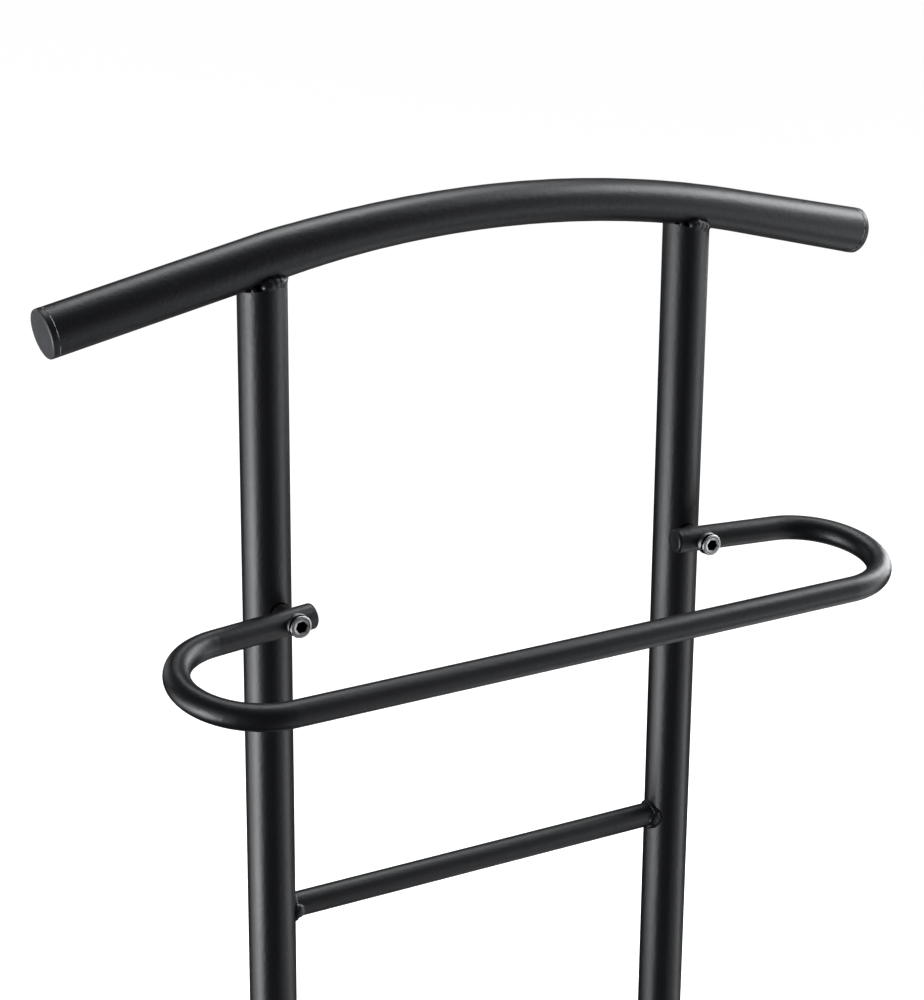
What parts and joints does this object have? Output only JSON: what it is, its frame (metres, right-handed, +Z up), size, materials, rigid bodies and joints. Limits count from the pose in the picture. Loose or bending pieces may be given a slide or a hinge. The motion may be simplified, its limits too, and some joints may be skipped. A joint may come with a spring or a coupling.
{
  "type": "valet stand",
  "caption": "Free-standing clothes valet of black powder-coated steel tube: curved shoulder rail, screwed-on trouser loop, ladder rungs between the uprights, arched runners with shoe rails.",
  "frame": {"origin": "on the floor, in the middle of the base", "axes": "+Z up; the front, where the trouser loop is, looks along -Y; the shoulder rail runs along X"},
  "size_m": [0.4327, 0.3478, 1.0591],
  "materials": {
    "powder_coat": "satin black powder coat with a very fine grain",
    "end_plug_plastic": "matte moulded",
    "spacer_plastic": "matte moulded",
    "glide_plastic": "matte moulded",
    "screw_steel": "plain turned steel",
    "zinc_nut": "zinc plated"
  },
  "bodies": {
    "root": {"base_crossbar": "powder_coat", "base_lock_ring_left": "screw_steel", "base_lock_ring_right": "screw_steel", "base_screw_left": "screw_steel", "base_screw_right": "screw_steel", "base_weld_nut_left": "zinc_nut", "base_weld_nut_right": "zinc_nut", "base_welds": "powder_coat", "floor_glide_front_left": "glide_plastic", "floor_glide_front_right": "glide_plastic", "floor_glide_rear_left": "glide_plastic", "floor_glide_rear_right": "glide_plastic", "lower_rung": "powder_coat", "middle_rung": "powder_coat", "rivet_nut_left": "zinc_nut", "rivet_nut_right": "zinc_nut", "rung_welds": "powder_coat", "runner_left": "powder_coat", "runner_plug_front_left": "end_plug_plastic", "runner_plug_front_right": "end_plug_plastic", "runner_plug_rear_left": "end_plug_plastic", "runner_plug_rear_right": "end_plug_plastic", "runner_right": "powder_coat", "shoe_rail_front": "powder_coat", "shoe_rail_rear": "powder_coat", "shoulder_plug_left": "end_plug_plastic", "shoulder_plug_right": "end_plug_plastic", "shoulder_tube": "powder_coat", "shoulder_welds": "powder_coat", "spigot_left": "powder_coat", "spigot_right": "powder_coat", "trouser_bar": "powder_coat", "trouser_bar_plug_left": "end_plug_plastic", "trouser_bar_plug_right": "end_plug_plastic", "trouser_lock_ring_left": "screw_steel", "trouser_lock_ring_right": "screw_steel", "trouser_screw_left": "screw_steel", "trouser_screw_right": "screw_steel", "trouser_spacer_left": "spacer_plastic", "trouser_spacer_right": "spacer_plastic", "upper_rung": "powder_coat", "upright_left": "powder_coat", "upright_right": "powder_coat"}
  },
  "joints": []
}
